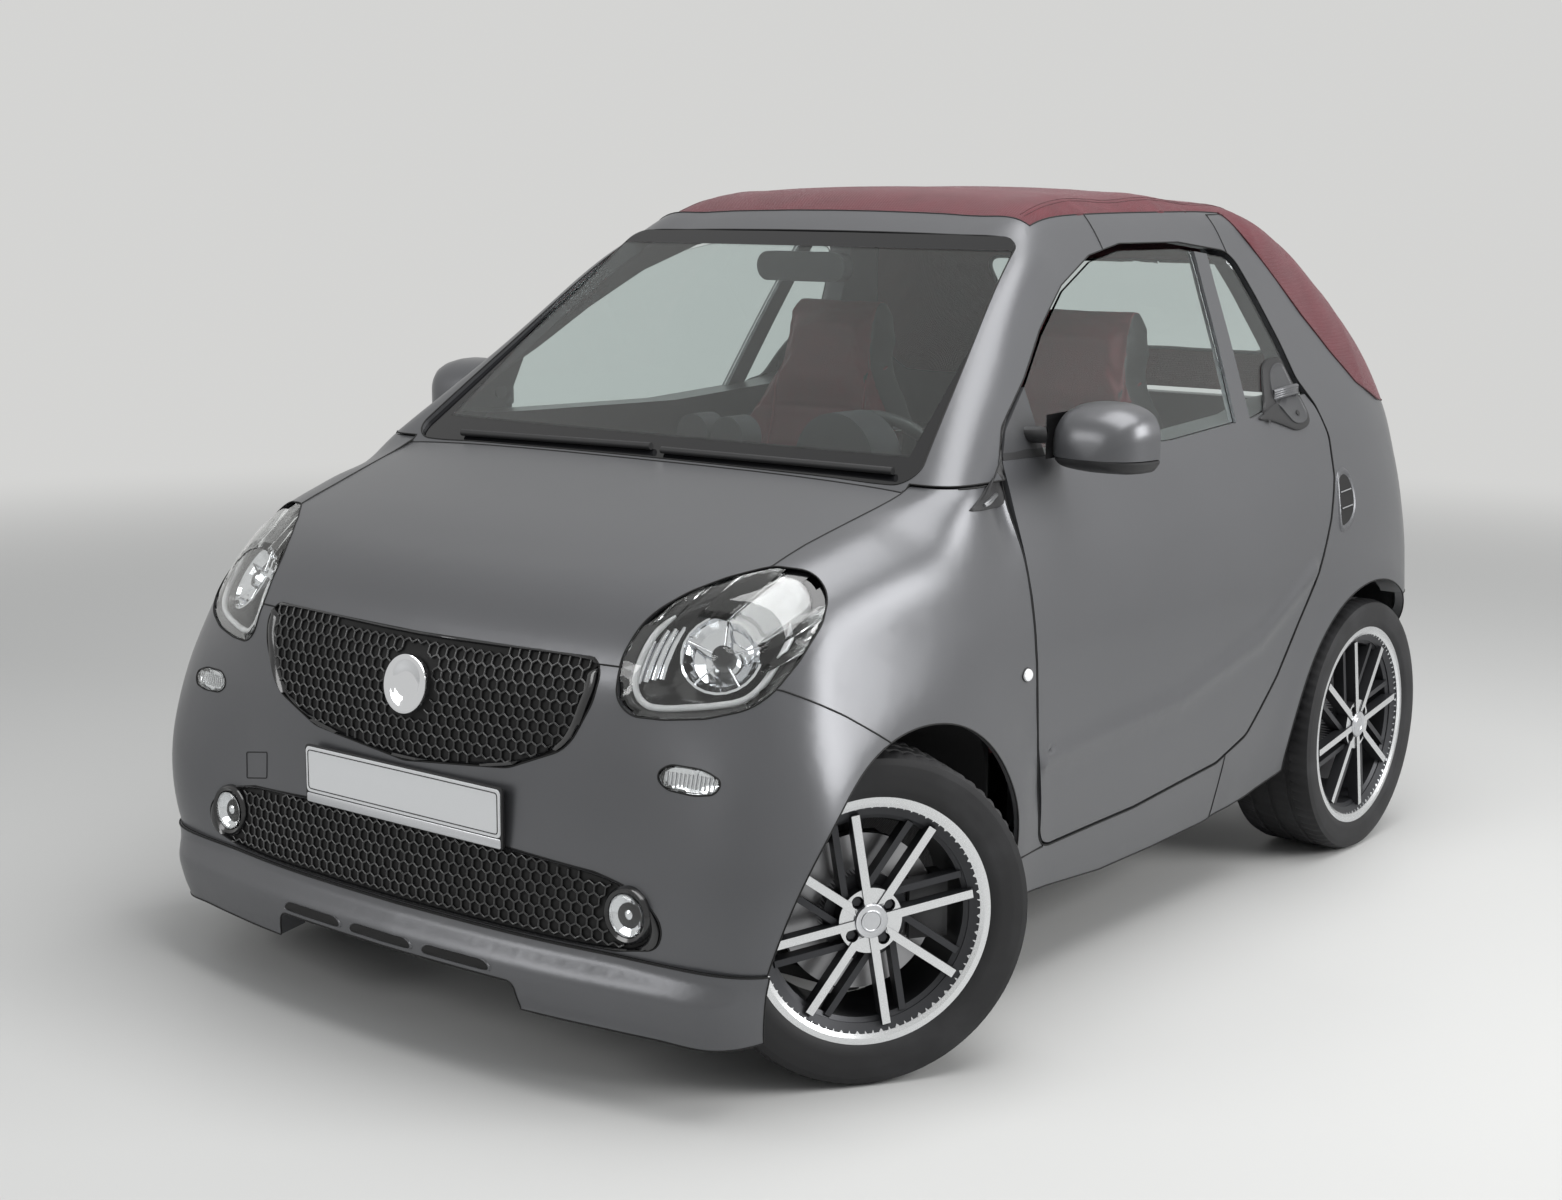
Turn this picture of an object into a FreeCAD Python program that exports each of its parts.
import FreeCAD
import Part
import math
import os

V = FreeCAD.Vector

# Overall sizes of the car, in millimetres
WHEELBASE = 1873.0
FRONT_OVERHANG = 459.0
REAR_OVERHANG = 363.0
BODY_WIDTH = 1663.0
BODY_HEIGHT = 1545.0
FRONT_TRACK = 1469.0
REAR_TRACK = 1430.0

# Origin on the floor, mid-length and mid-width; the front faces -Y and the car's left is +X
FRONT_AXLE_Y = (FRONT_OVERHANG - REAR_OVERHANG - WHEELBASE) / 2
REAR_AXLE_Y = FRONT_AXLE_Y + WHEELBASE
HALF_WIDTH = BODY_WIDTH / 2

# Wheels and tyres
FRONT_TYRE_RADIUS = 295.7
FRONT_TYRE_WIDTH = 185.0
FRONT_RIM_RADIUS = 220.7
REAR_TYRE_RADIUS = 297.9
REAR_TYRE_WIDTH = 205.0
REAR_RIM_RADIUS = 233.4

# Rounding of the body's long edges, and how far the skins stand in depth
NOSE_ROUND = 70.0
SHOULDER_ROUND = 120.0
PILLAR_ROUND = 40.0
ROOF_ROUND = 60.0
TAIL_ROUND = 100.0
BONNET_CROWN = 34.0
ROOF_CROWN = 62.0
SCREEN_BOW = 16.0
CORNER_SWELL = 46.0
ARCH_FLARE = 9.0
ARCH_FLARE_REACH = 70.0
FRONT_ARCH_RADIUS = 355.0
REAR_ARCH_RADIUS = 352.0
FRONT_ARCH_SETBACK = 40.0
FRONT_ARCH_Z = 270.0
REAR_ARCH_Z = 294.0
SMALL_STEP = 0.5
HALVINGS = 40


def station(share):
    """Y of a share along the car: -1 front end, 0 front axle, 1 rear axle, 2 rear end."""
    if share < 0:
        return FRONT_AXLE_Y + share * FRONT_OVERHANG
    if share > 1:
        return REAR_AXLE_Y + (share - 1) * REAR_OVERHANG
    return FRONT_AXLE_Y + share * WHEELBASE


def level(share):
    """Height of a share of the body height above the floor."""
    return share * BODY_HEIGHT


def breadth(share):
    """X of a share of the half width."""
    return share * HALF_WIDTH


def spline(points):
    """Natural cubic spline through (u, v) points, straight beyond its ends."""
    us = [p[0] for p in points]
    vs = [p[1] for p in points]
    count = len(points)
    steps = [us[i + 1] - us[i] for i in range(count - 1)]
    diagonal = [1.0] * count
    right = [0.0] * count
    moment = [0.0] * count
    for i in range(1, count - 1):
        below = steps[i - 1] if i > 1 else 0.0
        factor = below / diagonal[i - 1]
        slope_after = (vs[i + 1] - vs[i]) / steps[i]
        slope_before = (vs[i] - vs[i - 1]) / steps[i - 1]
        diagonal[i] = 2 * (steps[i - 1] + steps[i]) - factor * steps[i - 1]
        right[i] = 6 * (slope_after - slope_before) - factor * right[i - 1]
    for i in range(count - 2, 0, -1):
        moment[i] = (right[i] - steps[i] * moment[i + 1]) / diagonal[i]
    first = (vs[1] - vs[0]) / steps[0] - steps[0] * moment[1] / 6
    last = (vs[-1] - vs[-2]) / steps[-1] + steps[-1] * moment[-2] / 6

    def value(u):
        if u <= us[0]:
            return vs[0] + first * (u - us[0])
        if u >= us[-1]:
            return vs[-1] + last * (u - us[-1])
        i = 0
        while u > us[i + 1]:
            i += 1
        a = us[i + 1] - u
        b = u - us[i]
        h = steps[i]
        cubic = (moment[i] * a ** 3 + moment[i + 1] * b ** 3) / (6 * h)
        return cubic + (vs[i] / h - moment[i] * h / 6) * a + (vs[i + 1] / h - moment[i + 1] * h / 6) * b

    return value


# Half width of the side skin along the car (station share, half-width share)
SIDE_PLAN_SHARES = (
    (-0.68, 0.962), (-0.35, 0.979), (0.0, 0.985), (0.154, 0.982), (0.314, 0.973),
    (0.474, 0.968), (0.688, 0.970), (0.848, 0.976), (0.98, 0.983), (1.45, 0.974), (1.98, 0.925),
)
# Lean of the side skin with height (height share, half-width share)
SIDE_LEAN_SHARES = (
    (0.08, -0.105), (0.1165, -0.072), (0.162, -0.048), (0.2265, -0.022), (0.324, -0.005), (0.401, 0.0),
    (0.453, 0.001), (0.505, -0.011), (0.557, -0.030), (0.608, -0.0565), (0.647, -0.079), (0.712, -0.130),
    (0.777, -0.184), (0.841, -0.2405), (0.906, -0.300), (0.945, -0.343),
)
# Centre line of the nose (height share, station share)
NOSE_LINE_SHARES = (
    (0.065, -0.885), (0.162, -0.925), (0.278, -0.892), (0.3715, -0.872), (0.423, -0.851), (0.482, -0.815),
    (0.518, -0.777),
)
# How far the nose falls back towards its corners (half-width share, front overhang share)
NOSE_PLAN_SHARES = (
    (0.0, 0.0), (0.325, 0.020), (0.505, 0.052), (0.637, 0.090), (0.746, 0.126), (0.842, 0.175),
    (0.914, 0.235), (0.962, 0.30),
)
# How much of the corner swell shows with height (height share, swell share)
CORNER_LEVEL_SHARES = (
    (0.08, -0.2), (0.162, 0.35), (0.226, 0.75), (0.275, 0.85), (0.324, 0.6), (0.388, 0.0), (0.453, -0.8),
    (0.518, -1.3), (0.60, -1.0), (0.68, 0.0), (0.75, 0.0),
)
# Where the corner swell starts and is whole, along the side and across the nose
SWELL_SIDE_SHARES = (0.13, -0.55)
SWELL_NOSE_SHARES = (0.55, 0.93)
# Centre line of the bonnet (station share, height share)
BONNET_LINE_SHARES = (
    (-0.90, 0.472), (-0.7875, 0.513), (-0.57, 0.552), (-0.243, 0.590), (0.0205, 0.620), (0.1006, 0.647),
    (0.154, 0.661), (0.207, 0.672),
)
# Lower and upper ends of the windscreen's centre line (station share, height share)
SCREEN_LINE_SHARES = ((0.1200, 0.6530), (0.4335, 0.9500))
# Centre line of the roof (station share, height share)
ROOF_LINE_SHARES = (
    (0.40, 0.950), (0.437, 0.972), (0.458, 0.980), (0.50, 0.990), (0.554, 0.997), (0.608, 1.0),
    (0.715, 1.0), (0.821, 0.995), (0.928, 0.985), (0.992, 0.975), (1.32, 0.955), (1.59, 0.930),
)
# Centre line of the tail (height share, station share)
TAIL_LINE_SHARES = (
    (0.10, 1.76), (0.162, 1.86), (0.2265, 1.945), (0.291, 1.972), (0.388, 1.968), (0.485, 1.958),
    (0.583, 1.955), (0.647, 1.965), (0.70, 1.945), (0.739, 1.90), (0.809, 1.665), (0.874, 1.375),
    (0.932, 1.10), (0.97, 0.97),
)
# How far the tail falls forward towards its corners (half-width share, rear overhang share)
TAIL_PLAN_SHARES = (
    (0.0, 0.0), (0.36, 0.015), (0.60, 0.04), (0.78, 0.075), (0.90, 0.115), (0.97, 0.16),
)

side_plan = spline([(station(u), breadth(w)) for u, w in SIDE_PLAN_SHARES])
side_lean = spline([(level(u), breadth(w)) for u, w in SIDE_LEAN_SHARES])
nose_line = spline([(level(u), station(w)) for u, w in NOSE_LINE_SHARES])
nose_plan = spline([(breadth(u), w * FRONT_OVERHANG) for u, w in NOSE_PLAN_SHARES])
bonnet_line = spline([(station(u), level(w)) for u, w in BONNET_LINE_SHARES])
corner_level = spline([(level(u), w * CORNER_SWELL) for u, w in CORNER_LEVEL_SHARES])
roof_line = spline([(station(u), level(w)) for u, w in ROOF_LINE_SHARES])
tail_line = spline([(level(u), station(w)) for u, w in TAIL_LINE_SHARES])
tail_plan = spline([(breadth(u), w * REAR_OVERHANG) for u, w in TAIL_PLAN_SHARES])
SCREEN_FOOT = V(0, station(SCREEN_LINE_SHARES[0][0]), level(SCREEN_LINE_SHARES[0][1]))
SCREEN_HEAD = V(0, station(SCREEN_LINE_SHARES[1][0]), level(SCREEN_LINE_SHARES[1][1]))
SCREEN_RISE = (SCREEN_HEAD - SCREEN_FOOT).normalize()
SCREEN_NORMAL = V(0, -SCREEN_RISE.z, SCREEN_RISE.y)
SWELL_SIDE_START = station(SWELL_SIDE_SHARES[0])
SWELL_SIDE_END = station(SWELL_SIDE_SHARES[1])
SWELL_NOSE_START = breadth(SWELL_NOSE_SHARES[0])
SWELL_NOSE_END = breadth(SWELL_NOSE_SHARES[1])
FRONT_ARCH_Y = FRONT_AXLE_Y + FRONT_ARCH_SETBACK


def smooth_max(a, b, rounding):
    """The larger of two distances, rounded where they are alike."""
    overlap = rounding - abs(a - b)
    larger = a if a > b else b
    if overlap <= 0:
        return larger
    return larger + overlap * overlap / (4 * rounding)


def ramp(value, start, end):
    """Smooth rise from 0 at the start to 1 at the end."""
    t = (value - start) / (end - start)
    if t <= 0:
        return 0.0
    if t >= 1:
        return 1.0
    return t * t * (3 - 2 * t)


def flare(y, z, arch_y, arch_z, radius):
    """How far the skin swells beside the edge of a wheel arch."""
    off = (math.hypot(y - arch_y, z - arch_z) - radius) / ARCH_FLARE_REACH
    return ARCH_FLARE * math.exp(-off * off)


def side_x(y, z):
    """Half width of the side skin."""
    swell = flare(y, z, FRONT_ARCH_Y, FRONT_ARCH_Z, FRONT_ARCH_RADIUS)
    swell += flare(y, z, REAR_AXLE_Y, REAR_ARCH_Z, REAR_ARCH_RADIUS)
    corner = ramp(y, SWELL_SIDE_START, SWELL_SIDE_END) * corner_level(z)
    return side_plan(y) + side_lean(z) + swell + corner


def outer_form(x, y, z):
    """Below zero inside the body's outer form, above zero outside."""
    across = abs(x)
    side = across - side_x(y, z)
    nose = nose_line(z) + nose_plan(across) - y
    nose -= ramp(across, SWELL_NOSE_START, SWELL_NOSE_END) * corner_level(z)
    bonnet = z - bonnet_line(y) + BONNET_CROWN * (x / HALF_WIDTH) ** 4
    screen = screen_form(x, y, z)
    roof = z - roof_line(y) + ROOF_CROWN * (x / HALF_WIDTH) ** 2
    tail = y - tail_line(z) + tail_plan(across)
    form = smooth_max(side, nose, NOSE_ROUND)
    if bonnet < screen:
        form = smooth_max(form, bonnet, SHOULDER_ROUND)
    else:
        form = smooth_max(form, screen, PILLAR_ROUND)
    form = smooth_max(form, roof, ROOF_ROUND)
    return smooth_max(form, tail, TAIL_ROUND)


def side_form(x, y, z):
    """Below zero inside the side skin alone, above zero outside."""
    return abs(x) - side_x(y, z)


def screen_form(x, y, z):
    """Below zero behind the windscreen's own surface, above zero in front of it."""
    plane = (y - SCREEN_FOOT.y) * SCREEN_NORMAL.y + (z - SCREEN_FOOT.z) * SCREEN_NORMAL.z
    return plane + SCREEN_BOW * (x / HALF_WIDTH) ** 2


def slope(point, form):
    """Outward normal of a form at a point."""
    x, y, z = point
    step = SMALL_STEP
    n = V(
        form(x + step, y, z) - form(x - step, y, z),
        form(x, y + step, z) - form(x, y - step, z),
        form(x, y, z + step) - form(x, y, z - step),
    )
    return n.normalize()


def cast(start, direction, form):
    """Point where a ray from inside leaves a form."""
    if form(start.x, start.y, start.z) >= 0:
        raise ValueError("a ray starts outside the form")
    low = 0.0
    high = BODY_WIDTH
    for _ in range(HALVINGS):
        middle = (low + high) / 2
        p = start + direction * middle
        if form(p.x, p.y, p.z) < 0:
            low = middle
        else:
            high = middle
    return start + direction * low
# Fits and gaps
SHUT_GAP = 6.0
PANEL_GAP = 3.0
GLASS_GAP = 12.0
RUNNING_GAP = 0.3
SHAFT_CLEARANCE = 0.05
WHEEL_CLEARANCE = 6.0
OVERRUN = 400.0
TINY = 0.001
SMALL_ANGLE = 0.01
RUN_SHARE = 0.49

# Thickness of the panels
SKIN = 10.0
CELL_WALL = 55.0
DOOR_WALL = 85.0
ROOF_WALL = 22.0
FRAME_WALL = 42.0
GLASS = 5.0
GLASS_INSET = 6.0
FLOOR = 18.0

# Lines that the rays start from (shares)
ROOF_CENTRE_SHARES = (0.6346, 0.518)
BONNET_CENTRE_SHARES = (0.05, 0.20)
LAMP_BACK_SHARE = -0.10
GRILLE_BACK_SHARE = -0.60
ARCH_INNER_SHARE = 0.52
CELL_JOINT_SHARE = 0.66
LAMP_SPACE_SHARE = 1.5
WINDOW_SPACE_SHARE = 1.05
BONNET_SPACE_SHARES = (0.4, 0.8)
BAR_SPACE_SHARES = (0.25, 0.60, 0.70)
ROOF_SPACE_SHARES = (0.90, 0.85, 1.2)
LIP_FADE_SHARES = (0.168, 0.13, 0.80, 0.93)
LIP_TOP_SHARES = (0.172, 0.16)
FLANGE_SHARE = 1.2
BOSS_SHARE = 1.5
SEAT_RAIL_SHARES = (0.36, 0.56, 0.25)
BINNACLE_SHARES = (0.22, 0.655)
POD_SHARES = (0.21, 0.675)
LIP_REACH = 32.0
LIP_STEP = 6.0
GRILLE_INSET = 14.0
LAMP_DEPTH = 80.0
LAMP_CORNER = 90.0
DOOR_CORNER = 60.0
JAMB_STEP = 16.0
JAMB_DEPTH = 24.0
POST_DEPTH = 20.0
HATCH_FRONT_SHARE = 1.3
STRIKER_RADIUS = 9.0
PANEL_DEPTH = 16.0
RAIL_WALL = 40.0
SCREEN_CORNER = 45.0
WINDOW_CORNER = 50.0
TAILGATE_WALL = 60.0
GATE_CORNER = 45.0

# Outside mirror
MIRROR_SHARES = (0.304, 0.700, 0.700)
MIRROR_ROOT_X = 688.0
MIRROR_ARM_SHARE = 0.286
MIRROR_X = 842.0
MIRROR_ARM_RADIUS = 16.0
MIRROR_ARM_LENGTH = 100.0
MIRROR_ARM_SHARES = (1.0, 0.10, 0.05)
MIRROR_FRONT_ROUNDS = (0.45, 0.34, 0.45, 0.45)
MIRROR_PLAN_ROUNDS = (0.45, 0.60, 0.10, 0.10)
MIRROR_FLANK_ROUNDS = (0.30, 0.0, 0.0, 0.45)
MIRROR_WIDTH = 204.0
MIRROR_DEPTH = 110.0
MIRROR_HEIGHT = 132.0

# Steering geometry and tyre shoulder
KINGPIN_OFFSET = 34.5
SHOULDER = 22.0
STEER_AT_REST = 33.0
LAMP_HEADING_SHARES = (0.50, -0.62, 0.60)
LAMP_CENTRE_SHARES = (0.745, -0.50, 0.512)
LAMP_REACH = 200.0
LAMP_SPREAD = 380.0

# Wheels
RIM_LIP = 9.0
RIM_WALL = 8.0
HUB_RADIUS = 58.0
HUB_DEPTH = 40.0
HUB_BORE = 18.0
SPOKE_COUNT = 8
SPOKE_WIDTH = 15.0
SPOKE_DEPTH = 26.0
SPOKE_INSET = 6.0
SPOKE_FIRST = 80.6
SECOND_SPOKE_SHARE = 0.20
SECOND_SPOKE_DROP = 12.0
SECOND_SPOKE_WIDTH = 12.0
BOLT_RADIUS = 11.0
BOLT_CIRCLE = 56.0
BOLT_DEPTH = 18.0
CAP_RADIUS = 30.0
CAP_RISE = 4.0
DISC_RADIUS = 140.0
DISC_THICKNESS = 22.0
DISC_OFFSET = 62.0
HAT_RADIUS = 78.0
BEAD_WIDTH = 9.0

# Knuckles, arms and struts
KNUCKLE_THICKNESS = 26.0
KNUCKLE_WIDTH = 90.0
BALL_Z = 150.0
TOP_PIVOT_Z = 440.0
ARM_THICKNESS = 22.0
ARM_WIDTH = 34.0
PIVOT_RADIUS = 15.0
PIN_RADIUS = 10.0
STRUT_X = 560.0
STRUT_RADIUS = 26.0
SPRING_RADIUS = 40.0
SUBFRAME_X = 300.0
CALIPER_WIDTH = 110.0
CALIPER_HEIGHT = 62.0
CALIPER_DEPTH = 56.0
AXLE_TUBE_RADIUS = 35.0

# Cabin floor and bulkheads (station share, height share) and half width
TUB_HALF_SHARE = 0.838
TUB_LINE_SHARES = (
    (0.1258, 0.6053), (0.186, 0.420), (0.194, 0.240), (0.262, 0.142), (0.640, 0.142), (0.745, 0.260),
    (0.790, 0.425), (0.83, 0.440), (1.60, 0.440),
)
FRONT_HOUSE_HALF = 347.0
REAR_HOUSE_HALF = 338.0
WHEELHOUSE_TOP = 645.0
WHEELHOUSE_CORNER = 190.0
WHEELHOUSE_INNER_X = 462.0
WHEELHOUSE_OUTER_X = 760.0
REAR_LINER_OUTER_X = 743.5
WHEELHOUSE_BASE = 345.0
LINER = 6.0
REAR_LINER_INNER_X = 588.0

# Seats
SEAT_X = 345.0
SEAT_WIDTH = 500.0
SEAT_BASE_SHARES = (
    (0.315, 0.205), (0.318, 0.275), (0.345, 0.300), (0.52, 0.272), (0.56, 0.300), (0.645, 0.545),
    (0.672, 0.665), (0.690, 0.820), (0.712, 0.842), (0.738, 0.832), (0.748, 0.780), (0.728, 0.600),
    (0.690, 0.440), (0.625, 0.225), (0.600, 0.205),
)
SEAT_CORNER = 45.0
SEAT_RAIL_WIDTH = 60.0

# Dashboard, steering wheel and column
DASH_SHARES = (
    (0.135, 0.618), (0.150, 0.648), (0.235, 0.662), (0.275, 0.648), (0.290, 0.600), (0.275, 0.520),
    (0.245, 0.440), (0.215, 0.430), (0.205, 0.520),
)
DASH_HALF_SHARE = 0.735
DASH_CORNER = 35.0
BINNACLE_RADIUS = 95.0
BINNACLE_LENGTH = 95.0
WHEEL_X = 345.0
WHEEL_CENTRE_SHARES = (0.335, 0.600)
WHEEL_RADIUS = 182.0
WHEEL_GRIP = 14.0
WHEEL_TILT = 27.0
WHEEL_HUB_RADIUS = 62.0
WHEEL_HUB_DEPTH = 34.0
COLUMN_RADIUS = 32.0
COLUMN_LENGTH = 190.0

# Engine, exhaust and small pieces
ENGINE_HALF = 330.0
EXHAUST_RADIUS = 36.0
EXHAUST_WALL = 3.0
EXHAUST_LENGTH = 170.0
EXHAUST_SPREAD = 45.0
EXHAUST_SHARES = (1.985, 0.145)
MIRROR_BACK_SHARES = (0.397, 0.8884)
INSIDE_MIRROR_WIDTH = 235.0
INSIDE_MIRROR_HEIGHT = 62.0
INSIDE_MIRROR_DEPTH = 32.0
WIPER_RADIUS = 7.0
SAMPLES = 13
PLATE_WIDTH = 520.0
PLATE_HEIGHT = 112.0
PLATE_THICKNESS = 9.0
SHOULDER_SHARE_IN = 0.32
SHOULDER_SHARE_OUT = 0.26
SIDEWALL_SHARE = 0.35
WELL_DEPTH = 25.0
SPOKE_START_SHARE = 0.70
BOLT_COUNT = 4
HALF_SHARE = 0.5
BOLT_CIRCLE_SHARE = 0.75
STUB_LENGTH = 30.0
CALIPER_GAP = 10.0
SPRING_X = 470.0
ENGINE_BASE = 345.0
ENGINE_FRONT = 190.0
ENGINE_REAR = 200.0
LINER_FRONT_REACH = 200.0
LINER_REAR_REACH = 215.0
SUBFRAME_HALF = 45.0
SEAT_HALF_SHARES = (
    (1.0, 0.18), (1.0, 0.63), (0.62, 0.73), (0.50, 0.86), (-0.50, 0.86), (-0.62, 0.73), (-1.0, 0.63),
    (-1.0, 0.18),
)
POD_RADIUS = 42.0
POD_LENGTH = 60.0
POD_X = 90.0
MUFFLER_HALF = 250.0
MUFFLER_DEPTH = 120.0
MUFFLER_HEIGHT = 125.0
EXHAUST_OPENING_HALF = 115.0
EXHAUST_OPENING_SHARE = 0.185
PLATE_FRONT_SHARES = (0.295, 0.298)
PLATE_STAND = 2.2
STEERING_SPOKES = (0.0, 180.0, 250.0, 290.0)
WIPER_SHARES = (((-0.62, 0.035), (0.02, 0.045)), ((0.06, 0.035), (0.72, 0.05)))
REAR_FLOOR_HALF = 480.0
DASH_BEAM_SHARES = (0.1411, 0.19, 0.56, 0.60)
DASH_BEAM_GAP = 10.0


def rounded_loop(points, radii):
    """Closed wire of straight runs joined by tangent arcs."""
    count = len(points)
    edges = []
    starts = []
    ends = []
    for i in range(count):
        corner = points[i]
        back = (points[i - 1] - corner).normalize()
        ahead = (points[(i + 1) % count] - corner).normalize()
        half = back.getAngle(ahead) / 2
        radius = radii[i]
        if radius <= 0 or half > math.pi / 2 - SMALL_ANGLE:
            starts.append(corner)
            ends.append(corner)
            continue
        reach = min(
            radius / math.tan(half),
            (points[i - 1] - corner).Length * RUN_SHARE,
            (points[(i + 1) % count] - corner).Length * RUN_SHARE,
        )
        radius = reach * math.tan(half)
        starts.append(corner + back * reach)
        ends.append(corner + ahead * reach)
        centre = corner + (back + ahead).normalize() * (radius / math.sin(half))
        middle = centre + (corner - centre).normalize() * radius
        edges.append((i, Part.Arc(starts[i], middle, ends[i]).toShape()))
    arcs = dict(edges)
    loop = []
    for i in range(count):
        if i in arcs:
            loop.append(arcs[i])
        if (starts[(i + 1) % count] - ends[i]).Length > TINY:
            loop.append(Part.LineSegment(ends[i], starts[(i + 1) % count]).toShape())
    return Part.Wire(loop)


def side_prism(shares, radius, gap=0.0, near=0.0, far=None):
    """Prism along X of an outline in (station share, height share), grown by the gap."""
    radii = [radius] * len(shares)
    points = [V(near, station(u), level(w)) for u, w in shares]
    face = Part.Face(rounded_loop(points, radii))
    if gap:
        face = Part.Face(face.makeOffset2D(gap).Wires[0])
    return face.extrude(V((far if far is not None else BODY_WIDTH) - near, 0, 0))


def front_prism(shares, radius, gap, near, far):
    """Prism along Y of an outline in (half-width share, height share), grown by the gap."""
    points = [V(breadth(u), near, level(w)) for u, w in shares]
    face = Part.Face(rounded_loop(points, [radius] * len(shares)))
    if gap:
        face = Part.Face(face.makeOffset2D(gap).Wires[0])
    return face.extrude(V(0, far - near, 0))


def box(x0, x1, y0, y1, z0, z1):
    """Box between two corners."""
    return Part.makeBox(x1 - x0, y1 - y0, z1 - z0, V(x0, y0, z0))


def cylinder_x(radius, x0, x1, y, z):
    """Cylinder along X."""
    return Part.makeCylinder(radius, x1 - x0, V(x0, y, z), V(1, 0, 0))


def cylinder_z(radius, x, y, z0, z1):
    """Cylinder along Z."""
    return Part.makeCylinder(radius, z1 - z0, V(x, y, z0), V(0, 0, 1))


def mirror(shape):
    """The same piece on the car's other side."""
    return shape.mirror(V(0, 0, 0), V(1, 0, 0))


def surface(grid):
    """Smooth surface through a grid of points."""
    skin = Part.BSplineSurface()
    skin.interpolate(grid)
    return skin


def slab(rays, outer, inner, form=outer_form, swell=None):
    """Solid between two offsets of a form, met by a grid of rays."""
    outside = []
    inside = []
    for row in rays:
        outside.append([])
        inside.append([])
        for start, direction in row:
            hit = cast(start, direction, form)
            normal = slope(hit, form)
            rise = swell(hit) if swell else 0.0
            outside[-1].append(hit + normal * (rise - outer))
            inside[-1].append(hit - normal * inner)
    top = surface(outside)
    bottom = surface(inside)
    faces = [top.toShape(), bottom.toShape()]
    first_u, last_u, first_v, last_v = top.bounds()
    low_u, high_u, low_v, high_v = bottom.bounds()
    pairs = (
        (top.uIso(first_u), bottom.uIso(low_u)), (top.uIso(last_u), bottom.uIso(high_u)),
        (top.vIso(first_v), bottom.vIso(low_v)), (top.vIso(last_v), bottom.vIso(high_v)),
    )
    for over, under in pairs:
        faces.append(Part.makeRuledSurface(over.toShape(), under.toShape()))
    shell = Part.makeShell(faces)
    shell.sewShape()
    solid = Part.makeSolid(shell)
    if solid.Volume < 0:
        solid.reverse()
    return solid


def spread(start, end, count):
    """Evenly spaced values from start to end."""
    return [start + (end - start) * i / (count - 1) for i in range(count)]


def side_rays(fan):
    """Rays outward along X: station shares, rows, height shares, columns."""
    u0, u1, rows, w0, w1, columns = fan
    fan = []
    for u in spread(u0, u1, rows):
        fan.append([(V(0, station(u), level(w)), V(1, 0, 0)) for w in spread(w0, w1, columns)])
    return fan


def plan_rays(fan):
    """Rays that fan in plan about an upright line: its shares, angles (0 is +X), rows, heights, columns."""
    across_share, along_share, angle0, angle1, rows, w0, w1, columns = fan
    x = breadth(across_share)
    y = station(along_share)
    fan = []
    for angle in spread(angle0, angle1, rows):
        a = math.radians(angle)
        direction = V(math.cos(a), math.sin(a), 0)
        fan.append([(V(x, y, level(w)), direction) for w in spread(w0, w1, columns)])
    return fan


def roof_rays(fan):
    """Rays in planes that turn about a crosswise line in the cabin: angles (180 is forward), rows, width."""
    angle0, angle1, rows, width, columns = fan
    centre = V(0, station(ROOF_CENTRE_SHARES[0]), level(ROOF_CENTRE_SHARES[1]))
    fan = []
    for angle in spread(angle0, angle1, rows):
        a = math.radians(angle)
        along = V(0, math.cos(a), math.sin(a))
        row = []
        for b in spread(-width, width, columns):
            t = math.radians(b)
            row.append((centre, along * math.cos(t) + V(math.sin(t), 0, 0)))
        fan.append(row)
    return fan


def bonnet_rays(fan):
    """Rays in upright planes that fan about a crosswise line under the bonnet: angles, rows, half share."""
    angle0, angle1, rows, half, columns = fan
    y = station(BONNET_CENTRE_SHARES[0])
    z = level(BONNET_CENTRE_SHARES[1])
    fan = []
    for angle in spread(angle0, angle1, rows):
        a = math.radians(angle)
        direction = V(0, math.cos(a), math.sin(a))
        fan.append([(V(breadth(u), y, z), direction) for u in spread(-half, half, columns)])
    return fan


def length_rays(fan):
    """Rays that fan about a lengthwise line: its shares, stations, rows, angles (90 is up), columns."""
    across_share, up_share, u0, u1, rows, angle0, angle1, columns = fan
    x = breadth(across_share)
    z = level(up_share)
    fan = []
    for u in spread(u0, u1, rows):
        row = []
        for angle in spread(angle0, angle1, columns):
            a = math.radians(angle)
            row.append((V(x, station(u), z), V(math.cos(a), 0, math.sin(a))))
        fan.append(row)
    return fan


def parallel_rays(centre, direction, width, height, rows, columns):
    """Rays side by side along one direction, from a level and an upright spread about a centre."""
    level_way = direction.cross(V(0, 0, 1)).normalize()
    upright = level_way.cross(direction)
    fan = []
    for u in spread(-width / 2, width / 2, rows):
        fan.append([(centre + level_way * u + upright * v, direction)
                    for v in spread(-height / 2, height / 2, columns)])
    return fan


def biggest(shape):
    """The largest solid of a cut, without slivers."""
    return max(shape.Solids, key=lambda solid: solid.Volume)


def both(shape):
    """A piece and its mirror image as two solids of one node."""
    return Part.makeCompound([shape, mirror(shape)])


nodes = {}


def keep(name, shape):
    """Store a node's shape."""
    nodes[name] = shape

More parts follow.
